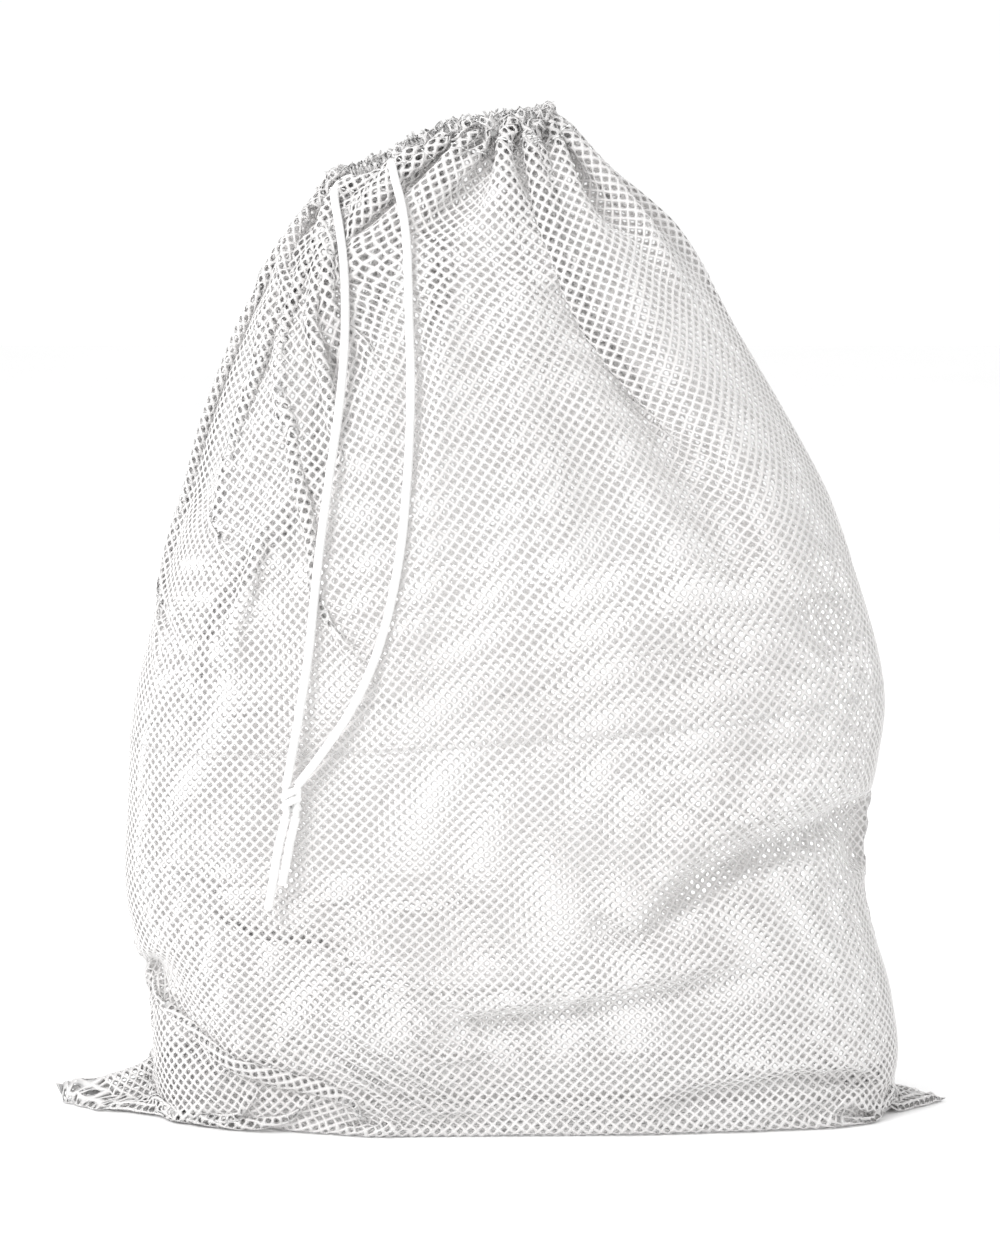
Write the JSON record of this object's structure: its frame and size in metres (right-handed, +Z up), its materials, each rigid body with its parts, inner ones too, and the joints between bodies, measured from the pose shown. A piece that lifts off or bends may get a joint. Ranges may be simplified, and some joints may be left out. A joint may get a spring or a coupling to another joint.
{
  "type": "mesh laundry bag",
  "caption": "Standing, filled drawstring laundry bag of open mesh cloth, with a gathered channel at its mouth and a cord tied at the front.",
  "frame": {"origin": "on the floor, in the middle of the footprint from corner tip to corner tip and front to back, on the line of the bottom seam", "axes": "+Z up, +X along the bottom seam to the bag's right as seen from the front, -Y towards the front, where the cord ends hang"},
  "size_m": [0.59, 0.2667, 0.6558],
  "materials": {
    "mesh_cloth": "matte",
    "channel_cloth": "matte",
    "seam_edge": "matte",
    "thread": "matte",
    "cord": "matte"
  },
  "bodies": {
    "bag": {"front_panel": "mesh_cloth", "back_panel": "mesh_cloth", "side_seam_left": "seam_edge", "side_seam_right": "seam_edge", "bottom_seam": "seam_edge", "drawcord_channel": "channel_cloth", "hem_stitching": "thread", "channel_cord": "cord"},
    "drawcord": {"cord_leg_left": "cord", "cord_leg_right": "cord", "cord_knot": "cord", "cord_end_left": "cord", "cord_end_right": "cord"}
  },
  "joints": [
    {"name": "drawcord_swing", "type": "hinge", "parent": "bag", "child": "drawcord", "pos_m": [-0.1022, -0.0204, 0.6039], "axis": [-0.8632, 0.3504, -0.3633], "range_deg": [0, 90]}
  ]
}
